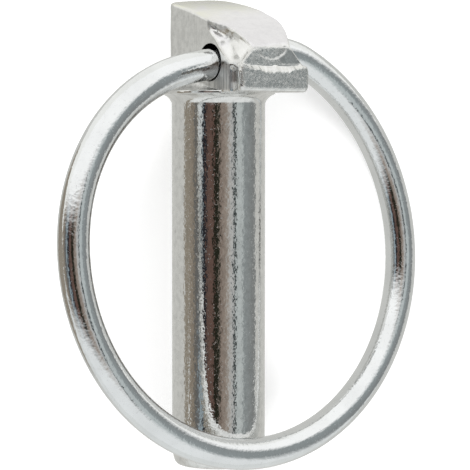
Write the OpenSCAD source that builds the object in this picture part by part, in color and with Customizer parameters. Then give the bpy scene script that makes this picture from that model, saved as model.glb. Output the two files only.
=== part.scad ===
// Lynch pin: a forged pin with a spring ring hinged in its head.
//
// The pin is drawn upright first: its shank hangs down from z = 0, the underside of the head, and the nose
// points towards -y. It is then laid down as it comes to rest, on its back and on the rim of the ring, with
// its origin on the shank's axis, where the plain length of the shank meets the fillet under the head.

/* [Shank] */
// Diameter of the shank
shank_d = 11; // [9:0.5:14]
// Length of the shank under the head
shank_l = 43.8; // [43:0.1:60]
// Width of the bevel round the tip
tip_bevel_w = 1.0; // [0.5:0.1:2]
// Height of the bevel round the tip
tip_bevel_h = 1.2; // [0.5:0.1:2.5]
// Length of the slight taper that leads the tip into a hole, bevel included
lead_l = 5.2; // [4:0.1:8]
// How much the taper takes off the radius
lead_drop = 0.08; // [0.02:0.01:0.3]
// Radius of the fillet under the head
neck_fillet = 1.1; // [0.4:0.05:2]

/* [Head] */
// Height of the head above the shank, at its highest corner
head_h = 11.5; // [9:0.1:14]
// How far the collar stands out from the shank
collar_step = 1.15; // [1.1:0.05:2]
// Height of the round collar
collar_h = 0.9; // [0.5:0.1:1.6]
// Thickness of the head across its two flats
fin_t = 7.5; // [6:0.1:9]
// Distance from the shank's axis to the back of the head
back_reach = 5.35; // [4.5:0.05:6]
// Radius of the upright corners at the back of the head
back_corner_r = 1.2; // [0.5:0.1:2]
// Height at which the back stops widening into the collar
flare_h = 3.2; // [2:0.1:5]
// Bevel along the back edge of the top
crown_bevel = 0.6; // [0.2:0.1:1.5]
// Radius of the crowned top
crown_r = 34.5; // [26:0.5:60]
// Distance of the crown's highest line behind the shank's axis, on the right
crest_back = 9.2; // [6:0.1:12]
// Angle by which the crown is turned, so that the top falls towards the left
crown_turn = 30; // [0:1:40]
// Distance from the shank's axis to the brow, where the top turns down
brow_reach = 7.9; // [7:0.1:9]

/* [Nose] */
// Distance from the shank's axis to the face of the nose
nose_reach = 10.7; // [10:0.1:13]
// Thickness of the nose, from its face to where it widens out of the flats
nose_t = 3.7; // [2:0.1:4]
// Width of the nose
nose_w = 10.3; // [9:0.1:13]
// Height of the nose at its full width
nose_side_h = 2.9; // [1.5:0.1:3.5]
// Width of the front edge at the top of the nose
lip_w = 4.8; // [3:0.1:6]
// Height of the front edge at the top of the nose
lip_h = 5.3; // [4.5:0.1:6.5]
// How far the front edge lies behind the face of the nose
lip_set_back = 0.4; // [0.1:0.1:1]
// Radius of the nose's upright corners
nose_corner_r = 1.2; // [0.4:0.1:1.6]
// Height and depth of the bevel along the nose's lower edge
nose_bevel = 0.8; // [0.3:0.1:1.5]
// Distance of the cheeks in front of the shank's axis, where they start at the height of the front edge
cheek_reach = 5.1; // [4.5:0.1:6.5]
// Angle by which the cheeks narrow the head towards the front edge
cheek_turn = 13.3; // [5:0.1:16]
// Angle by which the cheeks lean inwards
cheek_lean = 9.8; // [0:0.1:15]

/* [Ring] */
// Diameter of the spring wire
wire_d = 3.65; // [2.5:0.05:4.2]
// Diameter of the ring along the middle of its wire
ring_d = 47.5; // [46:0.5:60]
// Height of the hinge above the underside of the head
hinge_h = 4.05; // [3.6:0.05:5]
// Distance of the hinge in front of the shank's axis
hinge_front = 3.37; // [2:0.1:3.8]
// Slant of the hinge across the head, in degrees
hinge_slant = 10; // [0:1:14]
// How far the hinge lies inside the ring's circle
end_drop = 1.57; // [1:0.01:2.4]
// How much tighter than the ring the left bend is
left_bend_tighter = 2.92; // [2.2:0.01:5]
// How much wider than the ring the arc on the right is
right_arc_wider = 1.15; // [0.2:0.05:3]
// Angle above level at which the wide arc on the right starts
right_arc_start = 10; // [0:1:30]
// Radius of the bend that takes the wire into the hole on the right
right_bend_r = 9; // [6:0.5:10]
// Gap between the two ends of the wire, inside the head
end_gap = 1; // [0.4:0.1:2]

/* [Fit] */
// Play all round the wire in the cross hole
hinge_play = 0.35; // [0.3:0.05:0.5]
// How far the wire hangs below the middle of the hole
hinge_sag = 0.2; // [0:0.05:0.25]
// Gap between the closed ring and the shank
rest_gap = 0.1; // [0.05:0.05:0.5]

/* [Hidden] */
$fn = 96;
eps = 0.01;

// Every other stretch of the wire is finer by join_step and runs on inside its neighbours by join_l, so that
// the stretches make one solid.
join_step = 0.02;
join_l = 0.3;

shank_r = shank_d / 2;
wire_r = wire_d / 2;
ring_r = ring_d / 2;
fin_x = fin_t / 2;
collar_r = shank_r + collar_step;
nose_root = nose_reach - nose_t;
lip_reach = nose_reach - lip_set_back;
// Middle of the nose's rounded corner, and where the side that widens out of the flat meets it
nose_corner = [nose_w / 2 - nose_corner_r, nose_corner_r - nose_reach];
flare = [nose_corner.x - fin_x, nose_corner.y + nose_root];
flare_turn = atan2(-flare.y, -flare.x) - acos(nose_corner_r / norm(flare));
flare_end = nose_corner + (nose_corner_r + eps) * [cos(flare_turn), sin(flare_turn)];
// Height of the crown's axis, and of the brow on the right, where the head is highest
crown_axis_h = head_h - sqrt(pow(crown_r, 2) - pow((crest_back - back_reach) * cos(crown_turn), 2));
brow_h = crown_axis_h + sqrt(pow(crown_r, 2) - pow((crest_back + brow_reach) * cos(crown_turn), 2));

// The ring's outline is worked out in its own plane, with the ring's centre at [0, 0]. The hinge line runs
// along hinge_dir at the distance hinge_level from the centre, measured along hinge_up.
hinge_dir = [cos(hinge_slant), sin(hinge_slant)];
hinge_up = [-sin(hinge_slant), cos(hinge_slant)];
hinge_rise = ring_r - end_drop;
hinge_level = hinge_rise * cos(hinge_slant);
hinge_mid = hinge_rise * sin(hinge_slant);

// Left bend: tangent to the hinge line and, from inside, to the ring
left_r = ring_r - left_bend_tighter;
left_run = -sqrt(pow(left_bend_tighter, 2) - pow(hinge_level - left_r, 2));
left_c = left_run * hinge_dir + (hinge_level - left_r) * hinge_up;
left_end = atan2(left_c.y, left_c.x);

// Right side: a wide arc leaves the ring, and a tight bend takes it to the hinge line
right_r = ring_r + right_arc_wider;
right_c = -right_arc_wider * [cos(right_arc_start), sin(right_arc_start)];
bend_run = right_c * hinge_dir
    + sqrt(pow(right_r - right_bend_r, 2) - pow(hinge_level - right_bend_r - right_c * hinge_up, 2));
bend_c = bend_run * hinge_dir + (hinge_level - right_bend_r) * hinge_up;
bend_start = atan2(bend_c.y - right_c.y, bend_c.x - right_c.x);

// The ring tilts forward about its hinge until it meets the shank near the tip
ring_drop = ring_r + hinge_rise;
ring_tilt = asin((shank_r + wire_r + rest_gap - hinge_front) / (ring_drop * cos(hinge_slant)));

// The pin rolls about its own axis until the ring's rim is as low as the collar
rim_front = hinge_front + hinge_rise * sin(ring_tilt);
lie_roll = atan2(rim_front, ring_r) + asin((collar_r - wire_r) / norm([ring_r, rim_front]));
// The seam of the turned shank is kept off the line on which the pin lies
seam = 86 - lie_roll;

// Turned shape of the shank, the fillet under the head and the collar
module shank_outline() {
    difference() {
        polygon([
            [0, -shank_l],
            [shank_r - tip_bevel_w, -shank_l],
            [shank_r - lead_drop, tip_bevel_h - shank_l],
            [shank_r, lead_l - shank_l],
            [shank_r, -neck_fillet],
            [shank_r + neck_fillet, -neck_fillet],
            [shank_r + neck_fillet, 0],
            [collar_r, 0],
            [collar_r, collar_h],
            [0, collar_h]
        ]);
        translate([shank_r + neck_fillet, -neck_fillet])
            circle(r = neck_fillet);
        translate([collar_r, -neck_fillet - eps])
            square([neck_fillet, neck_fillet + eps]);
    }
}

// Side view of the head: x runs to the back, y runs up
module head_side() {
    polygon([
        [collar_r, 0],
        [collar_r, collar_h],
        [back_reach, flare_h],
        [back_reach, head_h - crown_bevel],
        [back_reach - crown_bevel, head_h],
        [-brow_reach, head_h],
        [-brow_reach, brow_h],
        [-lip_reach, lip_h],
        [-nose_reach, nose_side_h],
        [-nose_reach, nose_bevel],
        [nose_bevel - nose_reach, 0]
    ]);
}

// Crowned top, with its axis turned across the head
module crown() {
    translate([fin_x, crest_back, crown_axis_h])
        rotate([0, 90, -crown_turn])
            cylinder(r = crown_r, h = 6 * nose_w, center = true, $fn = 360);
}

// Half space that leaves a cheek on one side of the head, 1 for the right and -1 for the left
module cheek_cut(side) {
    mirror([side < 0 ? 1 : 0, 0, 0])
        translate([fin_x, -cheek_reach, lip_h])
            rotate([0, -cheek_lean, -cheek_turn])
                translate([0, -nose_reach, -head_h])
                    cube([fin_t, 2 * nose_reach, 2 * head_h]);
}

// The part of the head between the flats. Its back widens at the foot into the round collar, and its front
// narrows between the cheeks.
module fin() {
    difference() {
        linear_extrude(head_h)
            union() {
                translate([-fin_x, -lip_reach])
                    square([fin_t, lip_reach + back_reach - back_corner_r]);
                translate([back_corner_r - fin_x, 0])
                    square([fin_t - 2 * back_corner_r, back_reach]);
                for (side = [-1, 1])
                    translate([side * (fin_x - back_corner_r), back_reach - back_corner_r])
                        circle(r = back_corner_r);
            }
        cheek_cut(1);
        cheek_cut(-1);
    }
    intersection() {
        translate([-fin_x, 0, 0])
            cube([fin_t, collar_r, head_h]);
        cylinder(r1 = collar_r + eps, r2 = back_reach - back_corner_r, h = flare_h);
    }
}

// Front view of the nose, with sloping shoulders up to the front edge
module nose_front() {
    polygon([
        [-nose_w / 2, 0],
        [nose_w / 2, 0],
        [nose_w / 2, nose_side_h],
        [lip_w / 2, lip_h],
        [-lip_w / 2, lip_h],
        [-nose_w / 2, nose_side_h]
    ]);
}

// The nose widens out of the flats to its rounded corners
module nose() {
    intersection() {
        linear_extrude(lip_h) {
            polygon([
                [-fin_x, -nose_root],
                [fin_x, -nose_root],
                flare_end,
                [nose_corner.x, -nose_reach],
                [-nose_corner.x, -nose_reach],
                [-flare_end.x, flare_end.y]
            ]);
            for (side = [-1, 1])
                translate([side * nose_corner.x, nose_corner.y])
                    circle(r = nose_corner_r);
        }
        rotate([90, 0, 0])
            linear_extrude(nose_reach)
                nose_front();
    }
}

module head() {
    intersection() {
        rotate([90, 0, 90])
            translate([0, 0, -nose_w / 2])
                linear_extrude(nose_w)
                    head_side();
        crown();
        union() {
            fin();
            nose();
        }
    }
}

// Slanted hole across the head, a little above the wire that hangs in it
module cross_hole() {
    translate([0, -hinge_front, hinge_h + hinge_sag])
        rotate([0, 90 - hinge_slant, 0])
            cylinder(r = wire_r + hinge_play, h = 2 * nose_w, center = true);
}

module pin_upright() {
    difference() {
        union() {
            rotate([0, 0, seam])
                rotate_extrude()
                    shank_outline();
            head();
        }
        cross_hole();
    }
}

// Arc of wire in the ring's plane, about centre c, from one angle to another
module wire_arc(c, r, from, to) {
    translate([c.x, 0, c.y])
        rotate([90, 0, 0])
            rotate([0, 0, from])
                rotate_extrude(angle = to - from)
                    translate([r, 0])
                        circle(r = wire_r, $fn = 48);
}

// The same arc made finer, and longer by join_l at both ends
module inner_arc(c, r, from, to) {
    more = join_l / r * 180 / PI;
    translate([c.x, 0, c.y])
        rotate([90, 0, 0])
            rotate([0, 0, from - more])
                rotate_extrude(angle = to - from + 2 * more)
                    translate([r, 0])
                        circle(r = wire_r - join_step, $fn = 48);
}

// Straight wire along the hinge line, measured from the point of the line nearest the ring's centre
module wire_end(from, to, r) {
    start = from * hinge_dir + hinge_level * hinge_up;
    translate([start.x, 0, start.y])
        rotate([0, 90 - hinge_slant, 0])
            cylinder(r = r, h = to - from, $fn = 48);
}

module ring_flat() {
    wire_end(left_run, hinge_mid - end_gap / 2, wire_r);
    inner_arc(left_c, left_r, 90 + hinge_slant, left_end);
    wire_arc([0, 0], ring_r, left_end, 360 + right_arc_start);
    inner_arc(right_c, right_r, right_arc_start, bend_start);
    wire_arc(bend_c, right_bend_r, bend_start, 90 + hinge_slant);
    wire_end(hinge_mid + end_gap / 2, bend_run + join_l, wire_r - join_step);
}

module ring_upright() {
    translate([0, -hinge_front, hinge_h])
        rotate(a = -ring_tilt, v = [hinge_dir.x, 0, hinge_dir.y])
            translate([0, 0, -hinge_rise])
                ring_flat();
}

// Lays the upright pin along +y, on its back, and rolls it onto the ring's rim
module lay_down() {
    rotate([0, lie_roll, 0])
        rotate([-90, 0, 0])
            translate([0, 0, neck_fillet])
                children();
}

module pin() {
    color("silver")
        lay_down()
            pin_upright();
}

module ring() {
    color("gainsboro")
        lay_down()
            ring_upright();
}

pin();
ring();
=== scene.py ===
"""Looks of a lynch pin: a forged, zinc-plated pin with a spring ring hinged in its head.

The pin and the ring are modelled upright, with z = 0 at the underside of the head and the nose towards -y,
and are then laid down as the frame lies. Sculpting tables are in millimetres, all else is in metres.
"""

import math

import bpy
import numpy as np
from mathutils import Matrix, Vector


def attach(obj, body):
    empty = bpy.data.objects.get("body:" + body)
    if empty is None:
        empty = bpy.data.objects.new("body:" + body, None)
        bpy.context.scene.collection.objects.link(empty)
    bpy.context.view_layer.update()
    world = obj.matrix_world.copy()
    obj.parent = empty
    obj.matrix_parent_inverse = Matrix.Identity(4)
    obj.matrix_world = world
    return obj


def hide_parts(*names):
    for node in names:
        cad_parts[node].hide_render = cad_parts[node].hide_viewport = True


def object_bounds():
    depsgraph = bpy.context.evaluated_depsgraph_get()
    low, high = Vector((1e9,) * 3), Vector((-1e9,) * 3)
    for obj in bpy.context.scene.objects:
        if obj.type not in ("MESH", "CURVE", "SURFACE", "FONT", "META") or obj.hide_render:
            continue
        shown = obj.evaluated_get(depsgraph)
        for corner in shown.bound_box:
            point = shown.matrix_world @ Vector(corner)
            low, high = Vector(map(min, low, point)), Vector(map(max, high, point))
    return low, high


bl_info = {
    "name": "Lynch Pin",
    "version": (1, 0, 0),
    "blender": (4, 5, 0),
    "location": "3D View > Sidebar > Lynch Pin",
    "description": "Models a forged lynch pin and its spring ring around the packed frame",
    "category": "Object",
}

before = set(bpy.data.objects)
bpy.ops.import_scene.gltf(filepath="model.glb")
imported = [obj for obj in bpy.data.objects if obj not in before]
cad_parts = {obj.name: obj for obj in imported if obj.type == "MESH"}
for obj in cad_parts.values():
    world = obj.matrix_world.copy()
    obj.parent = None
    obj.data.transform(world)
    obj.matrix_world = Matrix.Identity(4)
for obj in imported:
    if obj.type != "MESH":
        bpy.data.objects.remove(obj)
CAD_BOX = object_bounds()

MM = 0.001
# Fillet between shank and collar
NECK_FILLET = 1.1 * MM
# How far the pin rolls about its length until it lies on the collar and the ring's rim
LIE_ROLL = math.radians(24.1444)
# Points of a turned or swept mesh closer than this are one
WELD = 0.002 * MM
# Fewest points that a finished piece can have
FEWEST_POINTS = 1000


class LynchPinSizes(bpy.types.PropertyGroup):
    """Sizes of the pin and the ring"""

    shank_d: bpy.props.FloatProperty(
        name="Shank diameter", description="Diameter of the shank", default=0.011, unit="LENGTH")
    shank_l: bpy.props.FloatProperty(
        name="Shank length", description="Length of the shank under the head",
        default=0.0438, unit="LENGTH")
    collar_r: bpy.props.FloatProperty(
        name="Collar radius", description="Radius of the collar under the head",
        default=0.00665, unit="LENGTH")
    wire_d: bpy.props.FloatProperty(
        name="Wire diameter", description="Diameter of the spring wire", default=0.00365, unit="LENGTH")
    ring_d: bpy.props.FloatProperty(
        name="Ring diameter", description="Diameter of the ring along the middle of its wire",
        default=0.0475, unit="LENGTH")
    hinge_h: bpy.props.FloatProperty(
        name="Hinge height", description="Height of the hinge above the underside of the head",
        default=0.00405, unit="LENGTH")
    hinge_front: bpy.props.FloatProperty(
        name="Hinge distance", description="Distance of the hinge in front of the shank's axis",
        default=0.00337, unit="LENGTH")
    hinge_slant: bpy.props.FloatProperty(
        name="Hinge slant", description="Slant of the hinge across the head",
        default=math.radians(10), unit="ROTATION")
    hole_r: bpy.props.FloatProperty(
        name="Hole radius", description="Radius of the cross hole", default=0.002175, unit="LENGTH")
    voxel: bpy.props.FloatProperty(
        name="Fineness", description="Edge length of the mesh on the forged head", default=0.00013,
        unit="LENGTH")


class LynchPinFinish(bpy.types.PropertyGroup):
    """Colours of the plating and the stage"""

    plate: bpy.props.FloatVectorProperty(
        name="Plating", description="Colour of the zinc plate", subtype="COLOR", size=3,
        default=(0.80, 0.80, 0.785))
    wire: bpy.props.FloatVectorProperty(
        name="Wire", description="Colour of the plated wire", subtype="COLOR", size=3,
        default=(0.82, 0.835, 0.84))
    floor: bpy.props.FloatVectorProperty(
        name="Floor", description="Colour of the floor", subtype="COLOR", size=3,
        default=(0.88, 0.88, 0.88))


def sizes():
    return bpy.context.scene.lynch_pin_sizes


def finish():
    return bpy.context.scene.lynch_pin_finish


# ---------------------------------------------------------------- selection and small helpers

def deselect():
    if bpy.context.mode != "OBJECT":
        bpy.ops.object.mode_set(mode="OBJECT")
    bpy.ops.object.select_all(action="DESELECT")


def activate(obj):
    deselect()
    obj.select_set(True)
    bpy.context.view_layer.objects.active = obj


def new_from_primitive(name):
    obj = bpy.context.active_object
    obj.name = name
    obj.data.name = name
    return obj


def edit(obj, select="DESELECT"):
    activate(obj)
    bpy.ops.object.mode_set(mode="EDIT")
    bpy.ops.mesh.select_all(action=select)


def leave_edit():
    bpy.ops.object.mode_set(mode="OBJECT")


def settle(obj):
    """Puts the object's place into its mesh"""
    activate(obj)
    bpy.ops.object.transform_apply(location=True, rotation=True, scale=True)


def block(name, low, high):
    """Block between two corners"""
    deselect()
    low, high = Vector(low), Vector(high)
    bpy.ops.mesh.primitive_cube_add(size=1, location=(low + high) / 2)
    obj = new_from_primitive(name)
    obj.scale = high - low
    settle(obj)
    return obj


def cut_off(obj, point, normal):
    """Takes off all that lies beyond a plane and closes the cut"""
    edit(obj, "SELECT")
    bpy.ops.mesh.bisect(plane_co=point, plane_no=normal, use_fill=True, clear_outer=True)
    leave_edit()


def combine(obj, other, operation):
    """Boolean of two solids; the second is used up"""
    activate(obj)
    modifier = obj.modifiers.new(operation.title(), "BOOLEAN")
    modifier.operation = operation
    modifier.solver = "EXACT"
    modifier.object = other
    bpy.ops.object.modifier_apply(modifier=modifier.name)
    bpy.data.objects.remove(other, do_unlink=True)


def remesh(obj, size):
    activate(obj)
    modifier = obj.modifiers.new("Remesh", "REMESH")
    modifier.mode = "VOXEL"
    modifier.voxel_size = size
    bpy.ops.object.modifier_apply(modifier=modifier.name)


def even_out(obj, factor, rounds):
    activate(obj)
    modifier = obj.modifiers.new("Smooth", "SMOOTH")
    modifier.factor = factor
    modifier.iterations = rounds
    bpy.ops.object.modifier_apply(modifier=modifier.name)


def points(obj):
    flat = np.empty(len(obj.data.vertices) * 3, dtype=np.float64)
    obj.data.vertices.foreach_get("co", flat)
    return flat.reshape(-1, 3)


def set_points(obj, places):
    obj.data.vertices.foreach_set("co", places.astype(np.float32).ravel())
    obj.data.update()


def laid_down():
    """From the upright pin to the frame, where it lies on its back"""
    return (Matrix.Rotation(LIE_ROLL, 4, "Y") @ Matrix.Rotation(-math.pi / 2, 4, "X")
            @ Matrix.Translation((0, 0, NECK_FILLET)))


def lay_down(obj, before=Matrix.Identity(4)):
    obj.matrix_world = laid_down() @ before
    settle(obj)


def smooth(obj, degrees):
    activate(obj)
    bpy.ops.object.shade_smooth_by_angle(angle=math.radians(degrees))


# ---------------------------------------------------------------- turned shank

# Rounded end of the shank, in millimetres: how far inside its radius, and how far above the end
TIP_CURVE = (
    (1.06, 0.0), (0.86, 0.03), (0.66, 0.10), (0.48, 0.22), (0.36, 0.38), (0.27, 0.56), (0.19, 0.80),
    (0.12, 1.10), (0.07, 1.50), (0.04, 2.20), (0.02, 3.40), (0.0, 5.20))
# Round edge of the collar, in millimetres: how far inside its radius, and how high
COLLAR_EDGE = ((0.06, -0.01), (0.015, 0.03), (0.0, 0.10), (0.0, 0.24), (0.02, 0.31), (0.08, 0.36))
COLLAR_MIDDLE = 0.40
PLAIN_STEPS, FILLET_STEPS, SPIN_STEPS = 21, 12, 144
# The fillet's curve lies between a quarter circle and a straight chamfer, in these shares
FILLET_CIRCLE, FILLET_CHAMFER = 0.6, 0.4


def shank_profile():
    """Half outline of the turned shank, from the middle of the tip to the middle of the collar"""
    s = sizes()
    r, length, lead = s.shank_d / 2, s.shank_l, TIP_CURVE[-1][1] * MM
    outline = [(0, -length)]
    outline += [(r - inside * MM, up * MM - length) for inside, up in TIP_CURVE]
    for step in range(PLAIN_STEPS):
        outline.append((r, lead - length + (length - lead - NECK_FILLET) * (step + 1) / PLAIN_STEPS))
    for step in range(1, FILLET_STEPS):
        part = step / FILLET_STEPS
        turn = math.pi / 2 * part
        out, up = 1 - math.cos(turn), math.sin(turn) - 1
        outline.append((r + NECK_FILLET * (FILLET_CIRCLE * out + FILLET_CHAMFER * part),
                        NECK_FILLET * (FILLET_CIRCLE * up + FILLET_CHAMFER * (part - 1))))
    outline += [(s.collar_r - inside * MM, up * MM) for inside, up in COLLAR_EDGE]
    outline.append((0, COLLAR_MIDDLE * MM))
    return outline


def turn_shank():
    """Shank, fillet and collar, spun from their half outline"""
    outline = shank_profile()
    deselect()
    bpy.ops.mesh.primitive_plane_add(size=MM)
    obj = new_from_primitive("shank")
    edit(obj, "SELECT")
    bpy.ops.mesh.select_mode(type="VERT")
    bpy.ops.mesh.merge(type="CENTER")
    bpy.ops.mesh.select_all(action="SELECT")
    x, z = outline[0]
    bpy.ops.transform.translate(value=(x, 0, z))
    for next_x, next_z in outline[1:]:
        bpy.ops.mesh.extrude_region_move(
            TRANSFORM_OT_translate={"value": (next_x - x, 0, next_z - z)})
        x, z = next_x, next_z
    bpy.ops.mesh.select_all(action="SELECT")
    bpy.ops.mesh.spin(steps=SPIN_STEPS, angle=2 * math.pi, center=(0, 0, 0), axis=(0, 0, 1))
    bpy.ops.mesh.select_all(action="SELECT")
    bpy.ops.mesh.remove_doubles(threshold=WELD)
    bpy.ops.mesh.normals_make_consistent(inside=False)
    leave_edit()
    return obj


# ---------------------------------------------------------------- forged head

# The head, in millimetres: half its thickness, and the edge where its sloping front meets the nose
HALF_HEAD = 3.75
FRONT_Y, FRONT_Z = -10.3, 5.25
# Direction in which the sloping front faces, and its rise over its run
FRONT_OUT, FRONT_UP, FRONT_STEEP = -0.795, 0.606, 1.312
# Radius of the crowned top, and its highest height
TOP_RADIUS, TOP_HEIGHT = 34.5, 11.65


def smooth_max(a, b, k):
    """Larger of two distances, with the corner between them rounded over k"""
    overlap = np.maximum(k - np.abs(a - b), 0) / k
    return np.maximum(a, b) + overlap * overlap * k / 4


def smooth_min(a, b, k):
    """Smaller of two distances, with the corner between them rounded over k"""
    return -smooth_max(-a, -b, k)


def ease(value, low, high):
    """Smooth step from 0 at low to 1 at high"""
    t = np.clip((value - low) / (high - low), 0, 1)
    return t * t * (3 - 2 * t)


def waver(x, y, z, scale):
    """Smooth unevenness between about -1 and 1, the same on every run"""
    a, b, c = x / scale, y / scale, z / scale
    return (np.sin(1.7 * a + 2.3 * b + 0.4 * np.sin(3.1 * c)) * np.cos(2.9 * c - 1.3 * a + 0.9)
            + 0.5 * np.sin(4.1 * b - 3.7 * c + 1.1 * np.sin(2.3 * a) + 2.0)
            + 0.3 * np.sin(7.3 * a + 5.9 * c - 6.1 * b)) / 1.8


def head_top(x, y):
    """Height of the crowned top, ground so that it falls towards the left"""
    across = (y - 9.2) * 0.866 + (x - HALF_HEAD) * 0.5
    return TOP_HEIGHT - TOP_RADIUS + np.sqrt(np.maximum(TOP_RADIUS ** 2 - across ** 2, 1))


# Pits in the hollow beside the nose: distance along the head, height, reach
PITS = ((-5.9, 6.2, 0.30), (-5.2, 5.75, 0.24), (-5.3, 6.5, 0.2), (-6.4, 6.5, 0.17))


def pitted(y, z):
    """How far each point is into a pit, from 0 to 1"""
    return sum(np.exp(-((y - pit_y) ** 2 + (z - pit_z) ** 2) / reach ** 2) for pit_y, pit_z, reach in PITS)


def ledge(x):
    """Lower and upper edge of the ledge that was torn across the nose"""
    ragged = 0.07 * np.sin(2.3 * x + 0.5) + 0.05 * np.sin(5.1 * x) + 0.04 * np.sin(11.0 * x + 1.0)
    lower = 2.32 + 0.035 * x ** 2 + ragged
    return lower, np.maximum(3.12 + 0.14 * np.exp(-((x - 0.3) / 0.4) ** 2), lower + 0.4)


def head_field(places):
    """How far points are outside the forged head, in millimetres; negative inside"""
    x, y, z = places.T

    fall = FRONT_OUT * (y - FRONT_Y) + FRONT_UP * (z - FRONT_Z)
    top = smooth_max(z - head_top(x, y), fall, 1.2)

    # Half width of the nose at its front, by height
    heights, widths = (0, 2.5, 3.0, 5.3, 6.2, 8.45, 11.5), (5.12, 5.12, 4.9, 2.55, 2.75, 3.6, 3.75)
    crest = np.minimum(head_top(-HALF_HEAD, y), FRONT_Z + FRONT_STEEP * (y - FRONT_Y))
    brow = np.interp(crest, heights, widths) + 0.9 * ease(-y, 6.0, 8.4) * np.maximum(crest - 0.2 - z, 0)
    nose = np.maximum(np.interp(z, heights, widths), np.where(crest > 5.3, np.minimum(brow, 4.1), 0))
    # The flats were sheared: where they end, by height
    edge = np.interp(z, (0, 3.0, 4.6, 6.0, 7.3, 8.6, 9.5), (-7.0, -6.75, -5.6, -4.4, -3.2, -2.6, -2.3))
    run = np.clip((edge - y) / (edge + 10.5), 0, 1)
    low = 1 - ease(z, 2.5, 3.6)
    flared = HALF_HEAD + (nose - HALF_HEAD) * (low * run ** 1.1 + (1 - low) * run ** 1.25)
    # Hollow between flat and nose; it starts below the edge of the top and leans in there
    depth = head_top(np.where(x < 0, -HALF_HEAD, HALF_HEAD), y) - z
    reach = ease(-y, 3.4, 5.8)
    hollow = (reach + (1 - reach) * ease(depth, 0.0, 1.2)) * (
        1 - np.clip((depth - 0.8) / (head_top(-HALF_HEAD, y) - 3.4), 0, 1) ** 0.9)
    start = ease(edge - y, -0.1, 0.7 + 0.9 * (1 - ease(z, 6.0, 7.2)) * (1 - low))
    bowl = start * (1 - low) * hollow * np.interp(run, (0, 0.2, 0.45, 0.8, 1), (0.8, 0.9, 0.7, 0.2, 0))
    recess = start * low * 0.6 * (1 - run) ** 1.2
    left = -x - (flared - bowl - recess) - 0.03 * waver(x, y, z, 1.1) * start
    left = left + 0.2 * pitted(y, z)
    # The right side has the same recess, and a gentler hollow
    gentle = 0.4 * ease(edge - y, -0.1, 1.8) * (1 - low) * hollow * (1 - run)
    right = x - (flared - gentle - 0.6 * recess) - 0.025 * waver(y, x, z, 1.7) * start

    # Face of the nose, with a ledge across it and a crease above that
    lower, upper = ledge(x)
    face = 10.7 - 0.52 * np.clip((z - lower) / (upper - lower), 0, 1)
    face = face + 0.02 * waver(x, z, y, 0.35)
    arc = 3.95 + np.where(x < 0.1, 0.11, 0.27) * (x - 0.1) ** 2
    face = face - 0.16 * ease(z, arc - 0.16, arc + 0.02) * (1 - ease(z, arc + 0.02, arc + 0.8)) * (
        ease(x, -2.1, -1.4) * (1 - ease(x, 1.8, 2.2)))
    front = -y - face
    chin = (-y - z - 10.25) / 1.414

    back = y - (5.35 + 0.04 * waver(x, z, y, 2.2))
    foot = -z + 0.1

    # The nose keeps sharp ends high up and rounder ones low down, the left one rounder than the right
    ends = smooth_max(front, chin, 0.35)
    ends = smooth_max(smooth_max(ends, left, 0.7 * low + 0.35), right, 0.3 * low + 0.35)
    ends = smooth_max(ends, back, 1.6)
    body = smooth_max(smooth_max(ends, top, 0.4), foot, 0.15)

    # Foot of the head, where it widens into the collar
    radius = np.hypot(x, y)
    spread = np.interp(z, (0, 0.3, 0.42, 0.6, 0.85, 1.2, 3.2), (6.6, 6.5, 5.9, 5.1, 4.4, 3.9, 3.4))
    collar = smooth_max(smooth_max(radius - spread, z - 3.2, 0.3), foot, 0.15)
    return smooth_min(body, collar, 0.5)


def onto_field(places, field, rounds):
    """Moves points onto the surface where the field is zero"""
    reach, longest, least_steep = 0.04, 0.4, 0.25
    for _ in range(rounds):
        slope = np.stack([
            (field(places + reach * axis) - field(places - reach * axis)) / (2 * reach)
            for axis in np.eye(3)], axis=1)
        distance = np.clip(field(places), -longest, longest)
        steep = np.maximum((slope ** 2).sum(axis=1), least_steep)
        places = places - slope * (distance / steep)[:, None]
    return places


def work_surface(obj, rounds):
    """Brings the mesh onto the forged head's final surface"""
    set_points(obj, onto_field(points(obj) / MM, head_field, rounds) * MM)


def forge_head():
    """Forged head: blocked out from solids, then worked to its final surface"""
    blade = block("head", (-0.00372, -0.0103, 0.0001), (0.00372, 0.00535, 0.0114))
    cut_off(blade, (0, -0.0103, 0.0053), (0, FRONT_OUT, FRONT_UP))
    cut_off(blade, (0.00375, 0.0, 0.0106), (-0.2, -0.3, 0.93))
    nose = block("nose", (-0.0051, -0.0107, 0.0001), (0.0051, -0.0072, 0.0052))
    for side in (-1, 1):
        cut_off(nose, (side * 0.0051, -0.0107, 0.0029), (side * 0.67, 0, 0.74))
    combine(blade, nose, "UNION")
    deselect()
    bpy.ops.mesh.primitive_cone_add(
        vertices=96, radius1=0.0065, radius2=0.0045, depth=0.0031, location=(0, 0, 0.00165))
    collar = new_from_primitive("collar")
    settle(collar)
    combine(blade, collar, "UNION")
    # Coarse first, so that the form is found in few steps
    remesh(blade, 1.6 * sizes().voxel)
    work_surface(blade, 8)
    remesh(blade, sizes().voxel)
    work_surface(blade, 3)
    even_out(blade, 0.5, 3)
    work_surface(blade, 1)
    even_out(blade, 0.3, 1)
    return blade


def cross_hole():
    """Cutter for the slanted hole across the head, whose middle is a little off the wire's"""
    s = sizes()
    back_off, up_off = 0.00012, 0.0002
    deselect()
    bpy.ops.mesh.primitive_cylinder_add(
        vertices=96, radius=s.hole_r, depth=0.02,
        location=(0, back_off - s.hinge_front, s.hinge_h + up_off),
        rotation=(0, math.pi / 2 - s.hinge_slant, 0))
    cutter = new_from_primitive("hole")
    settle(cutter)
    return cutter


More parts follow.
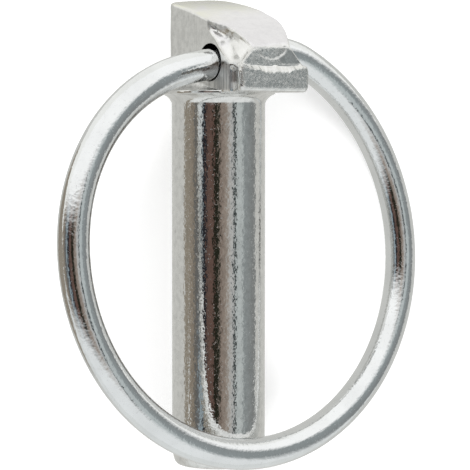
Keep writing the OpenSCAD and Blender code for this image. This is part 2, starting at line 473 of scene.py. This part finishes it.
class OBJECT_OT_lynch_pin(bpy.types.Operator):
    """Forges the pin: turned shank, forged head and cross hole in one piece"""

    bl_idname = "object.lynch_pin_pin"
    bl_label = "Pin"

    def execute(self, context):
        head = forge_head()
        combine(head, turn_shank(), "UNION")
        combine(head, cross_hole(), "DIFFERENCE")
        head.name = "plated_pin"
        head.data.name = "plated_pin"
        paint_finish(head)
        lay_down(head)
        smooth(head, 38)
        head.data.materials.clear()
        head.data.materials.append(plated_pin_material())
        if len(head.data.vertices) < FEWEST_POINTS:
            raise RuntimeError("The pin could not be forged")
        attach(head, "pin")
        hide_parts("pin")
        return {"FINISHED"}


# Zones of the pin's finish and of its painted shade and highlight, each an attribute from 0 to 1 that the
# material reads
ZONES = ("rough", "sheared", "ground", "flat", "warm", "recess_shade", "turned", "bright")


def paint_finish(obj):
    """Marks the zones of the finish, and of painted shade and highlight, on the mesh, which still stands
    upright
    """
    obj.data.update()
    places = points(obj) / MM
    normals = np.empty(len(places) * 3, dtype=np.float32)
    obj.data.vertices.foreach_get("normal", normals)
    normals = normals.reshape(-1, 3)
    x, y, z = places.T
    left = ease(-x, 2.0, 2.5)
    zone = {"turned": 1 - ease(z, -1.3, -0.5)}

    # Ground top, with a warmer tint towards the back
    ground = ease(normals[:, 2], 0.3, 0.7) * ease(z, 4.9, 5.4)
    zone["ground"] = ground
    zone["warm"] = ground * ease(y, -5.5, 0.5)

    # Grainy nose, but for the torn ledge and a scuffed place
    facing = -normals[:, 1]
    lower, upper = ledge(x)
    torn_off = ease(z, lower - 0.02, lower + 0.06) * (1 - ease(z, upper - 0.06, upper + 0.02)) * (
        ease(x, -3.5, -3.2))
    chin = 1 - ease(z, 2.0, 2.4)
    rough = ease(facing, 0.6 - 0.45 * chin, 0.75 - 0.4 * chin) * ease(-y, 9.2, 9.8)
    rounded = 0.9 * ease(-x, 4.0, 5.3)
    rough = rough * ease(z, 0.35 + rounded, 0.55 + rounded) * (1 - ease(z, 5.1, 5.3)) * (1 - torn_off)
    scuffed = ease(x, 0.6, 1.4) * ease(z, 3.2, 3.5) * (1 - ease(z - 0.27 * (x - 0.1) ** 2, 3.75, 3.95))
    zone["rough"] = rough * (1 - 0.6 * scuffed)

    # Flats, torn low down and at the back edge
    flat = ease(np.abs(normals[:, 0]), 0.93, 0.99) * ease(z, 0.3, 0.7)
    zone["flat"] = flat
    low = 1 - ease(z, 1.3 + 0.3 * np.sin(3 * y), 2.2 + 0.3 * np.sin(3 * y))
    side = ease(np.abs(x), 3.0, 3.3) * ease(z, 0.38, 0.45) * (1 - ease(-y, 6.9, 7.1))
    sheared = side * np.maximum(0.8 * low, (1 - ease(z, 2.9, 3.5)) * (1 - ease(y, -4.6, -4.0)))
    sheared = np.maximum(sheared, 0.35 * flat * ease(y, 3.9, 4.5))

    # Pits and the corner of the hollow under the top's edge, darkened with painted shade
    depth = head_top(-HALF_HEAD, y) - z
    shaded = 1.25 * np.clip((y + 6.0) / 3.0, 0, 1)
    shaded = ease(-y, 2.55, 2.8) * (1 - ease(depth, shaded - 0.5, shaded + 0.1)) * (1 - ground)
    # The sheared zone holds torn metal and also this painted shade
    zone["sheared"] = np.maximum(
        sheared, left * np.maximum(shaded, 0.9 * np.clip(pitted(y, z), 0, 1)))

    # Painted brown shade and reflection in the recess between the flat and the nose
    recess_shade = ease(-y, 6.85, 7.2) * (1 - ease(-y, 7.9, 8.5)) * ease(z, 1.0, 1.4) * (1 - ease(z, 2.2, 3.0))
    zone["recess_shade"] = recess_shade * left

    # Painted highlight in the hollow, and a painted highlight patch under the recess
    bright = ease(-y, 3.4, 4.2) * (1 - ease(-y, 9.2, 9.8)) * ease(z, 3.1, 3.5) * (1 - flat) * (1 - ground)
    patch = ease(-y, 6.9, 7.2) * (1 - ease(-y, 8.6, 9.2)) * ease(z, 0.4, 0.5) * (1 - ease(z, 1.1, 1.5))
    zone["bright"] = left * np.maximum(bright, patch)

    for name in ZONES:
        attribute = obj.data.attributes.new(name, "FLOAT", "POINT")
        attribute.data.foreach_set("value", zone[name].astype(np.float32))


# ---------------------------------------------------------------- spring ring

# How far the straight ends lie inside the ring's circle
END_DROP = 0.00157
# Half the gap between the wire's two ends inside the hole
HALF_END_GAP = 0.0005
# How much tighter the left arc and wider the right arc is than the ring, where the right one starts, and
# the radius of the bend before the right end
LEFT_TIGHTER, RIGHT_WIDER, RIGHT_START, BEND_R = 0.00292, 0.00115, math.radians(10), 0.009
# Gap between the wire and the shank at rest
REST_GAP = 0.0001
# Steps along the wire: left end, right end, and the four arcs
LEFT_STEPS, RIGHT_STEPS, ARC_STEPS = 12, 8, (40, 150, 36, 16)


def ring_plane():
    """Places in the ring's own plane, worked out as for the frame: arcs and ends as a dictionary"""
    s = sizes()
    ring_r = s.ring_d / 2
    along = Vector((math.cos(s.hinge_slant), math.sin(s.hinge_slant)))
    above = Vector((-along.y, along.x))
    rise = ring_r - END_DROP
    level, middle = rise * along.x, rise * along.y
    left_r = ring_r - LEFT_TIGHTER
    left_run = -math.sqrt(LEFT_TIGHTER ** 2 - (level - left_r) ** 2)
    left_c = left_run * along + (level - left_r) * above
    right_r = ring_r + RIGHT_WIDER
    right_c = -RIGHT_WIDER * Vector((math.cos(RIGHT_START), math.sin(RIGHT_START)))
    bend_run = right_c.dot(along) + math.sqrt(
        (right_r - BEND_R) ** 2 - (level - BEND_R - right_c.dot(above)) ** 2)
    bend_c = bend_run * along + (level - BEND_R) * above
    from_right = bend_c - right_c
    upright = math.pi / 2 + s.hinge_slant
    left_end = math.atan2(left_c.y, left_c.x)
    right_end = math.atan2(from_right.y, from_right.x)
    return {
        "along": along, "rise": rise,
        "start": (middle - HALF_END_GAP) * along + level * above,
        "left_run": left_run - middle + HALF_END_GAP,
        "right_run": middle + HALF_END_GAP - bend_run,
        "arcs": (
            (left_c, left_end - upright),
            (Vector((0, 0)), 2 * math.pi + RIGHT_START - left_end),
            (right_c, right_end - RIGHT_START),
            (bend_c, upright - right_end),
        ),
    }


def draw_out(direction, length, steps):
    """Lengthens the wire in a straight line"""
    step = direction * (length / steps)
    for _ in range(steps):
        bpy.ops.mesh.extrude_region_move(TRANSFORM_OT_translate={"value": (step.x, 0, step.y)})


def bend_ring():
    """Wire swept from inside the hole round the ring and back into the hole"""
    s = sizes()
    plan = ring_plane()
    start = plan["start"]
    deselect()
    bpy.ops.mesh.primitive_circle_add(
        vertices=48, radius=s.wire_d / 2, fill_type="NOTHING", location=(start.x, 0, start.y),
        rotation=(0, math.pi / 2 - s.hinge_slant, 0))
    obj = new_from_primitive("wire")
    settle(obj)
    edit(obj, "SELECT")
    bpy.ops.mesh.edge_face_add()
    draw_out(plan["along"], plan["left_run"], LEFT_STEPS)
    for (centre, angle), steps in zip(plan["arcs"], ARC_STEPS):
        bpy.ops.mesh.spin(steps=steps, angle=angle, center=(centre.x, 0, centre.y), axis=(0, 1, 0))
    draw_out(plan["along"], plan["right_run"], RIGHT_STEPS)
    bpy.ops.mesh.select_all(action="SELECT")
    bpy.ops.mesh.remove_doubles(threshold=WELD)
    bpy.ops.mesh.fill_holes(sides=0)
    bpy.ops.mesh.normals_make_consistent(inside=False)
    leave_edit()
    return obj


def mark_run(obj):
    """Notes how far along, outwards and above the ring each point lies, for marks drawn along the wire"""
    ring_r = sizes().ring_d / 2
    x, y, z = points(obj).T
    run = np.stack((np.arctan2(x, -z) * ring_r, np.hypot(x, z) - ring_r, y), axis=1)
    attribute = obj.data.attributes.new("run", "FLOAT_VECTOR", "POINT")
    attribute.data.foreach_set("vector", run.astype(np.float32).ravel())


def hang_ring():
    """From the ring's own plane to where it hangs in the upright pin"""
    s = sizes()
    plan = ring_plane()
    drop = s.ring_d / 2 + plan["rise"]
    tilt = math.asin((s.shank_d / 2 + s.wire_d / 2 + REST_GAP - s.hinge_front)
                     / (drop * plan["along"].x))
    axis = Vector((plan["along"].x, 0, plan["along"].y))
    return (Matrix.Translation((0, -s.hinge_front, s.hinge_h)) @ Matrix.Rotation(-tilt, 4, axis)
            @ Matrix.Translation((0, 0, -plan["rise"])))


class OBJECT_OT_lynch_ring(bpy.types.Operator):
    """Bends the spring ring from its wire"""

    bl_idname = "object.lynch_pin_ring"
    bl_label = "Ring"

    def execute(self, context):
        ring = bend_ring()
        mark_run(ring)
        ring.name = "spring_ring"
        ring.data.name = "spring_ring"
        if len(ring.data.vertices) < FEWEST_POINTS:
            raise RuntimeError("The ring could not be bent")
        lay_down(ring, hang_ring())
        smooth(ring, 40)
        ring.data.materials.clear()
        ring.data.materials.append(plated_wire_material())
        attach(ring, "ring")
        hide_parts("ring")
        return {"FINISHED"}


# ---------------------------------------------------------------- materials

class Nodes:
    """Shorthand for building a node tree"""

    def __init__(self, tree):
        self.tree = tree
        tree.nodes.clear()

    def add(self, kind, inputs=None, **settings):
        node = self.tree.nodes.new(kind)
        for name, value in settings.items():
            setattr(node, name, value)
        for name, value in (inputs or {}).items():
            if isinstance(value, bpy.types.NodeSocket):
                self.tree.links.new(value, node.inputs[name])
            else:
                node.inputs[name].default_value = value
        return node

    def attribute(self, name, output="Fac"):
        return self.add("ShaderNodeAttribute", attribute_name=name).outputs[output]

    def math(self, operation, a, b=0.0, clamp=False):
        return self.add("ShaderNodeMath", {0: a, 1: b}, operation=operation, use_clamp=clamp).outputs[0]

    def fit(self, value, low, high, to_low=0.0, to_high=1.0):
        return self.add("ShaderNodeMapRange", {
            "Value": value, "From Min": low, "From Max": high, "To Min": to_low, "To Max": to_high,
        }).outputs["Result"]

    def noise(self, vector, scale, detail=3.0, roughness=0.55):
        return self.add("ShaderNodeTexNoise", {
            "Vector": vector, "Scale": scale, "Detail": detail, "Roughness": roughness,
        }).outputs["Fac"]

    def mix(self, factor, a, b):
        node = self.add("ShaderNodeMix", {0: factor}, data_type="RGBA")
        for index, value in ((6, a), (7, b)):
            if isinstance(value, bpy.types.NodeSocket):
                self.tree.links.new(value, node.inputs[index])
            else:
                node.inputs[index].default_value = (*value, 1.0)
        return node.outputs[2]


def upright_coordinates(nodes, scale=(1, 1, 1), turn=0):
    """Object coordinates turned back to the upright pin, so that marks run along it"""
    where = nodes.add("ShaderNodeTexCoord").outputs["Object"]
    upright = (Matrix.Rotation(math.radians(turn), 3, "Z") @ laid_down().to_3x3().inverted()).to_euler()
    turned = nodes.add("ShaderNodeMapping", {"Vector": where, "Rotation": upright}).outputs["Vector"]
    return nodes.add("ShaderNodeMapping", {"Vector": turned, "Scale": scale}).outputs["Vector"]


# Depth of the plating's fine relief
PLATE_RELIEF = 0.000012
# Tints of the pin's zones: ground top, warm top and a painted highlight; pits in the nose's grain, torn metal
# that also serves as painted shade, and painted brown shade and reflection in the recess
GROUND_TINT, WARM_TINT, PAINTED_HIGHLIGHT_TINT = (0.80, 0.785, 0.82), (0.79, 0.79, 0.69), (0.93, 0.93, 0.92)
PIT_TINT, TORN_AND_SHADE_TINT, RECESS_SHADE_TINT = (0.40, 0.43, 0.43), (0.36, 0.37, 0.37), (0.20, 0.155, 0.14)


def plated(nodes, colour, roughness, height):
    """Ends a plating's nodes: a bright metal with fine relief"""
    bump = nodes.add("ShaderNodeBump", {"Height": height, "Strength": 1.0, "Distance": PLATE_RELIEF})
    shader = nodes.add("ShaderNodeBsdfPrincipled", {
        "Base Color": colour, "Metallic": 1.0, "Roughness": roughness, "Normal": bump.outputs["Normal"]})
    nodes.add("ShaderNodeOutputMaterial", {"Surface": shader.outputs["BSDF"]})


def plated_pin_material():
    """Bright zinc plate: satin shank, sheared flats, grainy nose and a ground top, with painted shade and
    painted highlight on the head
    """
    material = bpy.data.materials.new("zinc_plate_pin")
    material.use_nodes = True
    nodes = Nodes(material.node_tree)
    plate = finish().plate
    here = upright_coordinates(nodes)
    lengthwise = upright_coordinates(nodes, (1, 1, 0.05))
    crosswise = upright_coordinates(nodes, (0.07, 1, 1), 30)
    # The sheared zone also holds painted shade, the zone of the recess is painted brown shade and reflection,
    # and the bright zone is a painted highlight
    rough, sheared, ground, flat, warm, recess_shade, turned, bright = (nodes.attribute(name) for name in ZONES)

    grain = nodes.noise(here, 3400, 4, 0.7)
    speckle = nodes.noise(here, 2700, 4, 0.6)
    cloud = nodes.noise(here, 260, 3)
    mottle = nodes.noise(here, 1300, 3)
    drawn = nodes.noise(lengthwise, 1500, 4, 0.6)
    streak = nodes.noise(lengthwise, 3400, 3, 0.5)
    brush = nodes.noise(crosswise, 2600, 4, 0.6)

    dots = nodes.math("MULTIPLY", nodes.fit(speckle, 0.60, 0.74), nodes.fit(ground, 0.0, 1.0, 0.45, 0.12))
    colour = nodes.mix(nodes.fit(mottle, 0.40, 0.68), plate, [c * 0.84 for c in plate])
    for share, tint in (
            (nodes.math("MULTIPLY", ground, 0.7), GROUND_TINT),
            (nodes.math("MULTIPLY", warm, nodes.fit(cloud, 0.32, 0.55)), WARM_TINT),
            (dots, [c * 0.5 for c in plate]),
            # Painted highlight in the hollow and the patch under the recess
            (bright, PAINTED_HIGHLIGHT_TINT),
            (nodes.math("MULTIPLY", rough, nodes.fit(grain, 0.40, 0.58, 0.72, 0.0)), PIT_TINT),
            (nodes.math("MULTIPLY", flat, nodes.fit(drawn, 0.52, 0.72, 0.0, 0.4)), [c * 0.6 for c in plate]),
            # Torn metal's dark colour, also painted shade in the pits and under the top's edge
            (nodes.math("MULTIPLY", sheared, nodes.fit(streak, 0.40, 0.58, 0.66, 0.0)), TORN_AND_SHADE_TINT),
            # Painted brown shade and reflection in the recess
            (nodes.math("MULTIPLY", recess_shade, nodes.fit(streak, 0.4, 0.6, 0.3, 0.95)), RECESS_SHADE_TINT)):
        colour = nodes.mix(share, colour, tint)

    # Dull spots on the bright shank, and duller zones
    spots = nodes.fit(nodes.noise(here, 3800, 2, 0.5), 0.59, 0.71, 0.0, 0.34)
    roughness = nodes.math("ADD", nodes.math("MULTIPLY", spots, nodes.fit(turned, 0.0, 1.0, 0.15, 1.0)), 0.07)
    for zone, duller in ((rough, 0.2), (flat, 0.08), (sheared, 0.35), (recess_shade, 0.25), (bright, 0.35),
                         (ground, 0.12)):
        roughness = nodes.math("ADD", roughness, nodes.math("MULTIPLY", zone, duller), clamp=True)

    pebbles = nodes.math("MULTIPLY", nodes.noise(here, 2300, 1.5, 0.5), nodes.fit(turned, 0.0, 1.0, 0.9, 2.7))
    height = nodes.math("ADD", pebbles, nodes.math("MULTIPLY", drawn, 0.8))
    for marks, zone, weight in ((grain, rough, 7.0), (streak, sheared, 4.0), (brush, ground, 1.8)):
        relief = nodes.math("MULTIPLY", nodes.math("MULTIPLY", marks, zone), weight)
        height = nodes.math("ADD", height, relief)
    plated(nodes, colour, roughness, height)
    return material


def plated_wire_material():
    """Bright zinc plate on drawn wire"""
    material = bpy.data.materials.new("zinc_plate_wire")
    material.use_nodes = True
    nodes = Nodes(material.node_tree)
    wire = finish().wire
    here = upright_coordinates(nodes)
    run = nodes.attribute("run", "Vector")
    run = nodes.add("ShaderNodeMapping", {"Vector": run, "Scale": (0.05, 1, 1)}).outputs["Vector"]

    speckle = nodes.noise(here, 2400, 4, 0.6)
    cloud = nodes.noise(here, 300, 3)
    drawn = nodes.noise(run, 2200, 4, 0.6)
    colour = nodes.mix(nodes.fit(cloud, 0.35, 0.7), wire, [c * 0.92 for c in wire])
    colour = nodes.mix(nodes.math("MULTIPLY", nodes.fit(speckle, 0.62, 0.74), 0.3), colour,
                       [c * 0.6 for c in wire])
    roughness = nodes.fit(nodes.noise(here, 3800, 2, 0.5), 0.59, 0.71, 0.05, 0.35)
    pebbles = nodes.math("MULTIPLY", nodes.noise(here, 2300, 1.5, 0.5), 2.0)
    height = nodes.math("ADD", pebbles, nodes.math("MULTIPLY", drawn, 1.6))
    plated(nodes, colour, roughness, height)
    return material


# ---------------------------------------------------------------- stage

# The camera, seen from the upright pin: its direction, its distance, and the height that it looks at
VIEW_TURN = math.radians(-37.4)
VIEW_RISE = math.radians(3.0)
VIEW_DISTANCE = 0.25
VIEW_HEIGHT = -0.0181
VIEW_LENS = 161.85
VIEW_SHIFT = (0.0351, 0.0270)


def view_axes():
    """Right, up and back of the camera in the frame"""
    back = Vector((math.sin(VIEW_TURN) * math.cos(VIEW_RISE), -math.cos(VIEW_TURN) * math.cos(VIEW_RISE),
                   math.sin(VIEW_RISE)))
    right = Vector((math.cos(VIEW_TURN), math.sin(VIEW_TURN), 0))
    turn = laid_down().to_3x3()
    return turn @ right, turn @ back.cross(right), turn @ back


def place_camera():
    right, up, back = view_axes()
    camera = bpy.data.objects.new("camera", bpy.data.cameras.new("camera"))
    bpy.context.scene.collection.objects.link(camera)
    target = laid_down() @ Vector((0, 0, VIEW_HEIGHT))
    turn = Matrix((right, up, back)).transposed().to_4x4()
    camera.matrix_world = Matrix.Translation(target + VIEW_DISTANCE * back) @ turn
    camera.data.lens = VIEW_LENS
    camera.data.sensor_width = 36
    camera.data.shift_x, camera.data.shift_y = VIEW_SHIFT
    camera.data.clip_start = 0.005
    bpy.context.scene.camera = camera


# What bright metal mirrors around the shank: angle from the camera in degrees, and colour
SURROUNDINGS = (
    (-180, (0.62, 0.62, 0.59)),
    (-90, (0.62, 0.62, 0.59)),
    (-84, (0.33, 0.29, 0.24)),
    (-66, (0.27, 0.23, 0.185)),
    (-59, (0.15, 0.145, 0.135)),
    (-50, (0.14, 0.145, 0.15)),
    (-47, (0.34, 0.41, 0.45)),
    (-41, (0.30, 0.36, 0.39)),
    (-38.5, (0.02, 0.02, 0.025)),
    (-32, (0.02, 0.02, 0.025)),
    (-28, (0.125, 0.080, 0.066)),
    (-15, (0.145, 0.090, 0.074)),
    (-10, (0.020, 0.018, 0.012)),
    (-1, (0.020, 0.022, 0.014)),
    (6, (0.25, 0.20, 0.17)),
    (20, (0.34, 0.29, 0.25)),
    (30, (0.54, 0.54, 0.53)),
    (36, (0.50, 0.51, 0.51)),
    (39, (0.02, 0.03, 0.03)),
    (42, (0.02, 0.03, 0.03)),
    (45, (0.52, 0.56, 0.56)),
    (60, (0.52, 0.56, 0.56)),
    (66, (0.31, 0.34, 0.345)),
    (98, (0.24, 0.25, 0.25)),
    (106, (0.40, 0.41, 0.40)),
    (116, (0.60, 0.62, 0.60)),
    (180, (0.58, 0.60, 0.59)),
)
# What it mirrors towards the head and towards the tip
SHADE_ABOVE, SHADE_BELOW = (1.1, 1.1, 1.09), (0.86, 0.88, 0.88)
WHITE = (1, 1, 1, 1)
# Strength of the world's even light on the object
WORLD_LIGHT = 0.75
# White that the camera sees on the floor over its lit colour
FLOOR_GLOW = 0.34
# What the metal mirrors of the floor, and of the floor beside it, beyond the tip and beyond the head
FLOOR_SHADE, SIDE_SHADE = (0.64, 0.64, 0.615), (0.31, 0.275, 0.225)
TIP_SHADE, HEAD_SHADE = (0.78, 0.80, 0.79), (1.0, 1.0, 0.97)


def surround():
    """World: plain white, and for mirrored rays a belt of studio shades round the upright pin"""
    world = bpy.data.worlds.new("surroundings")
    bpy.context.scene.world = world
    world.use_nodes = True
    nodes = Nodes(world.node_tree)
    right, _, back = view_axes()
    along = (laid_down().to_3x3() @ Vector((0, 0, 1))).normalized()
    flat_back = (back - back.dot(along) * along).normalized()

    direction = nodes.add("ShaderNodeTexCoord").outputs["Generated"]

    def part(axis):
        return nodes.add("ShaderNodeVectorMath", {0: direction, 1: axis},
                         operation="DOT_PRODUCT").outputs["Value"]

    around = nodes.math("ARCTAN2", part(right), part(flat_back))
    place = nodes.fit(around, -math.pi, math.pi)
    ramp = nodes.add("ShaderNodeValToRGB", {"Fac": place})
    stops = ramp.color_ramp.elements
    while len(stops) > 1:
        stops.remove(stops[-1])
    for index, (angle, colour) in enumerate(SURROUNDINGS):
        position = (angle + 180) / 360
        stop = stops[0] if index == 0 else stops.new(position)
        stop.position = position
        stop.color = (*colour, 1)

    rise = part(along)
    above = nodes.fit(rise, 0.24, 0.48)
    below = nodes.fit(rise, -0.30, -0.6)
    mirrored = nodes.mix(above, ramp.outputs["Color"], SHADE_ABOVE)
    mirrored = nodes.mix(below, mirrored, SHADE_BELOW)

    rays = nodes.add("ShaderNodeLightPath").outputs
    soft = nodes.add("ShaderNodeBackground", {"Color": WHITE, "Strength": WORLD_LIGHT}).outputs[0]
    seen = nodes.add("ShaderNodeBackground", {"Color": WHITE, "Strength": 1.0}).outputs[0]
    shiny = nodes.add("ShaderNodeBackground", {"Color": mirrored, "Strength": 1.0}).outputs[0]
    mixed = nodes.add("ShaderNodeMixShader", {0: rays["Is Glossy Ray"], 1: soft, 2: shiny}).outputs[0]
    mixed = nodes.add("ShaderNodeMixShader", {0: rays["Is Camera Ray"], 1: mixed, 2: seen}).outputs[0]
    nodes.add("ShaderNodeOutputWorld", {"Surface": mixed})


def lay_floor():
    """Plain pale floor at the lowest point of the frame"""
    deselect()
    bpy.ops.mesh.primitive_plane_add(size=3.0, location=(0, -0.02, CAD_BOX[0][2]))
    floor = new_from_primitive("floor")
    settle(floor)
    material = bpy.data.materials.new("pale_floor")
    material.use_nodes = True
    nodes = Nodes(material.node_tree)
    matt = nodes.add("ShaderNodeBsdfDiffuse", {"Color": (*finish().floor, 1)}).outputs[0]
    glow = nodes.add("ShaderNodeEmission", {"Color": WHITE, "Strength": FLOOR_GLOW}).outputs[0]
    seen = nodes.add("ShaderNodeAddShader", {0: matt, 1: glow}).outputs[0]
    place = nodes.add("ShaderNodeTexCoord").outputs["Object"]
    place = nodes.add("ShaderNodeSeparateXYZ", {"Vector": place}).outputs
    mirrored = nodes.mix(nodes.fit(place["X"], -0.033, -0.042), FLOOR_SHADE, SIDE_SHADE)
    mirrored = nodes.mix(nodes.fit(place["Y"], -0.050, -0.062), mirrored, TIP_SHADE)
    mirrored = nodes.mix(nodes.fit(place["Y"], 0.0135, 0.0175), mirrored, HEAD_SHADE)
    shade = nodes.add("ShaderNodeEmission", {"Color": mirrored, "Strength": 1.0}).outputs[0]
    rays = nodes.add("ShaderNodeLightPath").outputs
    mixed = nodes.add("ShaderNodeMixShader", {0: rays["Is Camera Ray"], 1: matt, 2: seen}).outputs[0]
    mixed = nodes.add("ShaderNodeMixShader", {0: rays["Is Glossy Ray"], 1: mixed, 2: shade}).outputs[0]
    nodes.add("ShaderNodeOutputMaterial", {"Surface": mixed})
    floor.data.materials.append(material)


def hang_lamp(name, place, size, power):
    """Soft round lamp that points at the pin"""
    lamp = bpy.data.objects.new(name, bpy.data.lights.new(name, "AREA"))
    bpy.context.scene.collection.objects.link(lamp)
    lamp.location = place
    lamp.rotation_euler = (-Vector(place)).to_track_quat("-Z", "Y").to_euler()
    lamp.data.shape = "DISK"
    lamp.data.size = size
    lamp.data.energy = power
    lamp.visible_glossy = False


class OBJECT_OT_lynch_stage(bpy.types.Operator):
    """Sets the floor, the surroundings, the lamps and the camera"""

    bl_idname = "object.lynch_pin_stage"
    bl_label = "Stage"

    def execute(self, context):
        context.scene.view_settings.view_transform = "Standard"
        place_camera()
        surround()
        lay_floor()
        hang_lamp("key_lamp", (-0.5, 0.5, 0.9), 0.5, 6.0)
        hang_lamp("fill_lamp", (0.6, -0.3, 0.8), 0.6, 3.0)
        return {"FINISHED"}


class VIEW3D_PT_lynch_pin(bpy.types.Panel):
    """Lists the pieces and their sizes"""

    bl_label = "Lynch Pin"
    bl_idname = "VIEW3D_PT_lynch_pin"
    bl_space_type = "VIEW_3D"
    bl_region_type = "UI"
    bl_category = "Lynch Pin"

    def draw(self, context):
        layout = self.layout
        for group in (context.scene.lynch_pin_sizes, context.scene.lynch_pin_finish):
            for name in group.bl_rna.properties.keys():
                if name not in ("rna_type", "name"):
                    layout.prop(group, name)
        for operator in (OBJECT_OT_lynch_pin, OBJECT_OT_lynch_ring, OBJECT_OT_lynch_stage):
            layout.operator(operator.bl_idname)


CLASSES = (LynchPinSizes, LynchPinFinish, OBJECT_OT_lynch_pin, OBJECT_OT_lynch_ring,
           OBJECT_OT_lynch_stage, VIEW3D_PT_lynch_pin)


def register():
    for item in CLASSES:
        bpy.utils.register_class(item)
    bpy.types.Scene.lynch_pin_sizes = bpy.props.PointerProperty(type=LynchPinSizes)
    bpy.types.Scene.lynch_pin_finish = bpy.props.PointerProperty(type=LynchPinFinish)


def unregister():
    del bpy.types.Scene.lynch_pin_finish
    del bpy.types.Scene.lynch_pin_sizes
    for item in reversed(CLASSES):
        bpy.utils.unregister_class(item)


def main():
    register()
    bpy.ops.object.lynch_pin_stage()
    bpy.ops.object.lynch_pin_pin()
    bpy.ops.object.lynch_pin_ring()


if __name__ == "__main__":
    main()
